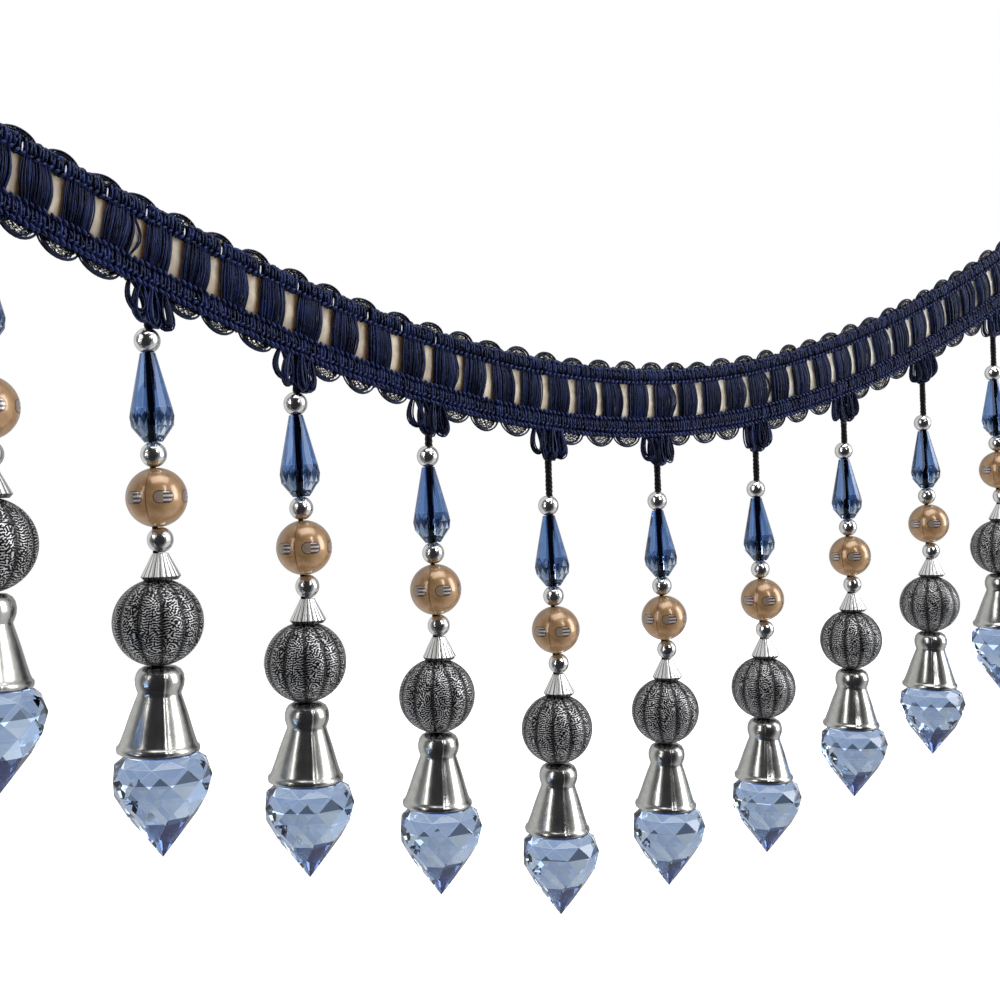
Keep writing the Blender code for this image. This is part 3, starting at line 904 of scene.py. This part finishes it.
def fluted_material():
    """Plating with painted shade: dark lines in the grooves between the flutes. Its lip is darker."""
    material, tree, shader = new_material("fluted silver plating")
    turn, height = bead_place(tree)[1:]
    # Painted shade: dark lines along the grooves between the flutes.
    groove = calc(tree, "POWER", calc(tree, "COSINE", calc(tree, "MULTIPLY", turn, FLUTES / 2)), 14.0)
    lip = calc(tree, "MULTIPLY", calc(tree, "LESS_THAN", height, 0.15 - CAP_HEIGHT), 0.55)
    dark = calc(tree, "MAXIMUM", groove, lip)
    feed(tree, shader, {
        "Base Color": colour_ramp(tree, dark, ((0.2, (0.82, 0.82, 0.81)), (0.7, (0.05, 0.05, 0.05)))),
        "Metallic": 1.0,
        "Roughness": 0.34,
    })
    return material


SILVER = silver_material("silver plating", (0.74, 0.74, 0.73), 0.08, 0.26, 1300.0, 0.30)
DARK_SILVER = silver_material("dark silver plating", (0.50, 0.50, 0.48), 0.20, 0.24, 260.0, 0.015)
ball = lathe("ball", round_rings(BALL, BALL, 0.75, 16), 28)
strung("silver_balls", ball, ("ball_1", "ball_2", "ball_3"), SILVER, "silver", (), 61)
cap = lathe("cap", CAP_RINGS, 320, flutes, 40.0)
strung("fluted_caps", cap, ("cap",), fluted_material(), "silver", (), 62)
bell = lathe("bell", BELL_RINGS, 96, seam)
strung("bells", bell, ("bell",), DARK_SILVER, "silver", (), 63, facing=9.0)

# Faceted teardrops.
# The blue teardrop is cut glass or clear acrylic: long narrow facets down to its widest part, and short
# ones under it. Painted shade makes it deep in front, and painted glints make it pale in the short facets.
TEARDROP_SIDES = 16
TEARDROP_BORDER = 0.07
TEARDROP_RINGS = (
    # radius, depth, and turn in half steps
    (0.6, -0.1, 0), (1.45, -0.1, 0), (3.95, 10.8, 0), (4.25, 12.2, 1), (3.95, 14.0, 0),
    (1.75, TEARDROP_LENGTH + 0.1, 1), (0.6, TEARDROP_LENGTH + 0.1, 1),
)


def glass_material(name, stops, ior, roughness, gloss):
    """Clear glass, tinted facet by facet, with painted shade and glints among the tints."""
    material, tree, shader = new_material(name)
    feed(tree, shader, {
        "Base Color": colour_ramp(tree, attribute(tree, "facet").outputs["Fac"], stops),
        "Transmission Weight": 1.0,
        "IOR": ior,
        "Roughness": roughness,
        "Specular Tint": (*gloss, 1.0),
    })
    return material


def cut_gem(name, rings, sides, tone_at, border, bored=False):
    """A flat-faceted solid, open from end to end where it is bored. tone_at(angle in degrees, depth, chance)
    is a facet's tone, with painted shade and glints, and its narrow border is a little paler, a painted
    highlight."""
    verts, faces = [], []
    rings = list(rings) + ([rings[0]] if bored else [])
    for radius, depth, turn in rings:
        for i in range(sides):
            angle = 2 * math.pi * (i + turn / 2) / sides
            verts.append((MM * radius * math.cos(angle), MM * radius * math.sin(angle), -MM * depth))
    for ring in range(len(rings) - 1):
        a = ring * sides
        b = 0 if bored and ring == len(rings) - 2 else (ring + 1) * sides
        shift = rings[ring + 1][2] - rings[ring][2]
        for i in range(sides):
            j = (i + 1) % sides
            if shift == 0:
                faces.append((a + i, b + i, b + j, a + j))
            elif shift > 0:
                faces.append((a + i, b + i, a + j))
                faces.append((a + j, b + i, b + j))
            else:
                faces.append((a + i, b + i, b + j))
                faces.append((a + i, b + j, a + j))
    if bored:
        verts = verts[:-sides]
    else:
        faces.append(tuple(range(sides)))
        faces.append(tuple(len(rings) * sides - 1 - i for i in range(sides)))
    mesh = bpy.data.meshes.new(name)
    mesh.from_pydata(verts, [], faces)
    work = bmesh.new()
    work.from_mesh(mesh)
    facet = work.faces.layers.float.new("facet")
    chance = np.random.default_rng(81)
    for face in work.faces:
        middle = face.calc_center_median() / MM
        face[facet] = tone_at(math.degrees(math.atan2(middle.y, middle.x)), -middle.z, chance)
    # Each wide facet gets a narrow border a little paler than itself: a painted highlight along its edges.
    wide = [face for face in work.faces if face.calc_area() > 1.5 * MM * border * face.calc_perimeter()]
    borders = bmesh.ops.inset_individual(work, faces=wide, thickness=MM * border, use_even_offset=True)
    for face in borders["faces"]:
        face[facet] = min(1.0, 1.12 * face[facet] + 0.01)
    work.to_mesh(mesh)
    work.free()
    return mesh


def teardrop_shade_and_glints(angle, depth, chance):
    """Painted light by the facet's angle from the viewer: pale under the widest part, with painted glints at
    both sides in front. Above it painted shade, middling at the back and deep in front.
    """
    if depth > 13.0:
        return 1.0 if 20.0 < abs(angle) < 80.0 else chance.uniform(0.7, 0.95)
    if abs(angle) > 100.0:
        return chance.uniform(0.4, 0.9)
    return 0.1 if abs(angle) < 9.0 else chance.uniform(0.05, 0.5)


# The tones pick the glass's blue; the dark end of the ramp is painted shade and the near-white end painted
# glints.
TEARDROP_BLUE = glass_material("deep blue glass", (
    (0.0, (0.005, 0.011, 0.045)), (0.35, (0.022, 0.049, 0.128)), (0.65, (0.022, 0.049, 0.128)),
    (0.9, (0.22, 0.36, 0.62)), (1.0, (0.90, 0.95, 1.0)),
), ior=1.5, roughness=0.02, gloss=(0.40, 0.50, 0.70))
teardrop = cut_gem("teardrop", TEARDROP_RINGS, TEARDROP_SIDES, teardrop_shade_and_glints, TEARDROP_BORDER, bored=True)
strung("teardrops", teardrop, ("teardrop",), TEARDROP_BLUE, "blue_glass", drop_nodes("teardrop"), 71,
       facing=0.0)

# Tan beads.
# The round bead is moulded in pearly tan plastic. Six small ovals, striped with silver over half their
# length, are set round its equator, and a fine mould seam runs from hole to hole.
PEARL_WIDTH = 11.6
OVALS = 6
OVAL_TURN = 5.233
OVAL_STRAIGHT = 0.80
OVAL_RADIUS = 1.05
RIM_RADIUS = 1.10
RIM_HALF = 0.15
STRIPES = 8.0
SEAM_TURN = 0.31
SEAM_HALF = 0.020
SEAM_END = -3.9


def tan_material():
    material, tree, shader = new_material("pearly tan")
    place, turn, height = bead_place(tree)
    # Distance along the equator from the nearest oval's middle, and height above it, both in millimetres.
    cell = calc(tree, "ADD", calc(tree, "MULTIPLY", turn, OVALS / (2 * math.pi)), OVAL_TURN)
    cell = calc(tree, "FRACT", cell)
    beside = calc(tree, "MULTIPLY", calc(tree, "SUBTRACT", cell, 0.5), math.pi * PEARL_WIDTH / OVALS)
    height = calc(tree, "ADD", height, PEARL_HEIGHT / 2)
    end = calc(tree, "MAXIMUM", calc(tree, "SUBTRACT", calc(tree, "ABSOLUTE", beside), OVAL_STRAIGHT), 0.0)
    squares = calc(tree, "ADD", calc(tree, "POWER", end, 2.0), calc(tree, "POWER", height, 2.0))
    away = calc(tree, "SQRT", squares)
    inside = calc(tree, "LESS_THAN", away, OVAL_RADIUS)
    rim = calc(tree, "LESS_THAN", calc(tree, "ABSOLUTE", calc(tree, "SUBTRACT", away, RIM_RADIUS)), RIM_HALF)
    wave = calc(tree, "SINE", calc(tree, "MULTIPLY", height, STRIPES))
    striped = calc(tree, "MULTIPLY", inside, calc(tree, "GREATER_THAN", beside, -0.1))
    lines = calc(tree, "MULTIPLY", striped, calc(tree, "GREATER_THAN", wave, 0.3))
    hollows = calc(tree, "MULTIPLY", striped, calc(tree, "LESS_THAN", wave, -0.2))
    seam_line = calc(tree, "LESS_THAN", calc(tree, "ABSOLUTE", calc(tree, "ADD", turn, SEAM_TURN)), SEAM_HALF)
    seam_line = calc(tree, "MULTIPLY", seam_line, calc(tree, "GREATER_THAN", height, SEAM_END))
    cloud = noise(tree, place, 0.35, 3.0)
    colour = colour_ramp(tree, cloud, ((0.3, (0.215, 0.118, 0.050)), (0.7, (0.340, 0.208, 0.100))))
    for mask, shade in (
        (rim, (0.07, 0.035, 0.025)), (inside, (0.20, 0.155, 0.115)), (lines, (0.40, 0.38, 0.38)),
        (hollows, (0.065, 0.045, 0.050)), (seam_line, (0.13, 0.05, 0.02)),
    ):
        colour = over(tree, colour, mask, shade)
    feed(tree, shader, {
        "Base Color": colour,
        "Metallic": 0.35,
        "Roughness": 0.28,
        "Coat Weight": 0.6,
        "Coat Roughness": 0.06,
        "Normal": bump(tree, calc(tree, "ADD", rim, seam_line), 0.5, 0.0002),
    })
    return material


pearl = lathe("pearl", round_rings(PEARL_WIDTH, PEARL_HEIGHT + 0.1, 0.9, 28), 48)
strung("tan_beads", pearl, ("pearl",), tan_material(), "tan_pearl", drop_nodes("pearl"), 72, facing=0.0)

# Lace beads.
# The large round bead is covered with a raised worm-like pattern, black in its hollows and silver on top,
# over twelve shallow grooves that run from hole to hole.
LACE_WIDTH = 17.2
GROOVES = 12
GROOVE_DEPTH = 0.34


def lace_material():
    material, tree, shader = new_material("black and silver lace")
    place, turn = bead_place(tree)[:2]
    worms = add_node(tree, "ShaderNodeTexGabor", {
        "Vector": place, "Scale": 0.65, "Frequency": 3.3, "Anisotropy": 0.0,
    }, gabor_type="3D")
    waves = calc(tree, "COSINE", calc(tree, "MULTIPLY", worms.outputs["Phase"], 2 * math.pi))
    lines = calc(tree, "ADD", calc(tree, "MULTIPLY", waves, 0.12), 0.52)
    groove = calc(tree, "ABSOLUTE", calc(tree, "COSINE", calc(tree, "MULTIPLY", turn, GROOVES / 2)))
    groove = calc(tree, "MULTIPLY", calc(tree, "POWER", groove, 10.0), 0.07)
    level = calc(tree, "SUBTRACT", lines, groove)
    feed(tree, shader, {
        "Base Color": colour_ramp(tree, level, ((0.55, (0.003, 0.003, 0.004)), (0.64, (0.55, 0.55, 0.56)))),
        "Metallic": 0.65,
        "Roughness": 0.38,
        "Normal": bump(tree, lines, 0.8, 0.00018),
    })
    return material


def grooves(angles, radius, ring):
    return radius - GROOVE_DEPTH * (radius / (LACE_WIDTH / 2)) * np.abs(np.cos(GROOVES / 2 * angles)) ** 6


lace = lathe("lace", round_rings(LACE_WIDTH, LACE_HEIGHT, 0.9, 36), 120, grooves)
strung("lace_beads", lace, ("lace",), lace_material(), "mesh_silver", drop_nodes("mesh_bead"), 73)

# Crystals.
# The drop ends in a clear acorn crystal in pale steel blue, made deeper at its tip by painted shade, with
# painted glints at the tip's left side. It is cut with a flat top, small facets round its shoulder and
# longer ones down to its point.
CRYSTAL_SIDES = 9
CRYSTAL_BORDER = 0.06
CRYSTAL_RINGS = (
    # radius, depth, and turn in half steps
    (7.0, GAP, 0), (8.8, 1.7, 1), (9.4, 4.6, 0), (8.9, 7.8, 1), (6.6, 11.6, 0), (3.3, 15.9, 1),
    (0.02, CRYSTAL_HEIGHT + GAP, 0),
)


def crystal_shade_and_glints(angle, depth, chance):
    """Painted light by the facet's angle from the viewer: painted shade deep at the tip, but painted glints
    at its left side. Above it mixed at both sides, pale between, darker on top.
    """
    if depth > 13.0:
        return chance.choice([0.5, 1.0]) if -80.0 < angle < -15.0 else chance.uniform(0.0, 0.03)
    if 70.0 < abs(angle) < 110.0:
        return chance.choice([0.05, 0.4, 0.7])
    if depth > 4.0:
        return chance.uniform(0.5, 0.95)
    return chance.uniform(0.165, 0.20) if abs(angle) < 90.0 else chance.uniform(0.33, 0.6)


# The tones pick the crystal's blue; the dark end of the ramp is painted shade and the pale end painted
# glints.
CRYSTAL_BLUE = glass_material("pale blue crystal", (
    (0.0, (0.008, 0.022, 0.120)), (0.2, (0.060, 0.082, 0.120)), (0.35, (0.49, 0.66, 0.97)),
    (0.65, (0.49, 0.66, 0.97)), (1.0, (0.76, 0.90, 1.0)),
), ior=1.49, roughness=0.0, gloss=(1.0, 1.0, 1.0))
crystal = cut_gem("crystal", CRYSTAL_RINGS, CRYSTAL_SIDES, crystal_shade_and_glints, CRYSTAL_BORDER)
strung("crystals", crystal, ("crystal",), CRYSTAL_BLUE, "pale_crystal", drop_nodes("crystal"), 74, facing=8.0)

# Light and backdrop.
# Soft boxes stand left, right and in front of the trim, and one hangs over it. The white room is dimmer
# behind the trim and dark behind the camera. The pale floor glows, too far below to take a shadow.
TO_CAMERA = (-0.638, -0.770, 0.0)
ROOM_SHADES = (
    # from 0 behind the trim to 1 behind the camera
    (0.0, (0.44, 0.44, 0.45)), (0.15, (0.54, 0.54, 0.55)), (0.28, (0.85, 0.85, 0.85)),
    (0.525, (0.85, 0.85, 0.85)), (0.625, (0.35, 0.35, 0.36)), (0.775, (0.035, 0.035, 0.04)),
)
FLOOR_HALF = 6.0
FLOOR_HEIGHT = -0.9
WHITE = (1.0, 1.0, 1.0)


def soft_box(name, place, aim, size, power):
    lamp = bpy.data.lights.new(name, "AREA")
    lamp.shape = "RECTANGLE"
    lamp.size, lamp.size_y = size
    lamp.energy = power
    box = put_in(name, lamp)
    turn = (Vector(place) - Vector(aim)).to_track_quat("Z", "Y")
    box.matrix_world = Matrix.Translation(place) @ turn.to_matrix().to_4x4()


def white_room():
    """The room's light. The camera itself sees plain white."""
    world = bpy.data.worlds.new("white room")
    bpy.context.scene.world = world
    world.use_nodes = True
    tree = world.node_tree
    way = add_node(tree, "ShaderNodeTexCoord", {}).outputs["Generated"]
    facing = add_node(tree, "ShaderNodeVectorMath", {0: way, 1: TO_CAMERA}, operation="DOT_PRODUCT")
    share = calc(tree, "ADD", calc(tree, "MULTIPLY", facing.outputs["Value"], 0.5), 0.5)
    seen = add_node(tree, "ShaderNodeLightPath", {}).outputs["Is Camera Ray"]
    colour = over(tree, colour_ramp(tree, share, ROOM_SHADES), seen, WHITE)
    feed(tree, tree.nodes["Background"], {"Color": colour})


def pale_floor():
    material, tree, shader = new_material("pale floor")
    feed(tree, shader, {
        "Base Color": (0.95, 0.95, 0.95, 1.0), "Roughness": 0.8,
        "Emission Color": (*WHITE, 1.0), "Emission Strength": 1.0,
    })
    mesh = bpy.data.meshes.new("floor")
    corners = ((-1, -1), (1, -1), (1, 1), (-1, 1))
    mesh.from_pydata([(x * FLOOR_HALF, y * FLOOR_HALF, FLOOR_HEIGHT) for x, y in corners], [], [(0, 1, 2, 3)])
    mesh.materials.append(material)
    floor = put_in("floor", mesh)
    floor.visible_glossy = False


soft_box("left box", (-0.95, -0.15, 0.20), (0.0, 0.0, -0.05), (0.35, 0.8), 4.5)
soft_box("right box", (1.50, -1.00, 0.45), (0.0, 0.0, -0.05), (0.70, 1.6), 23.0)
soft_box("front box", (0.032, -0.414, 0.22), (0.0, 0.0, -0.10), (0.05, 0.22), 0.45)
soft_box("top box", (0.0, -0.25, 0.85), (0.0, 0.0, 0.0), (0.9, 0.5), 5.0)
white_room()
pale_floor()
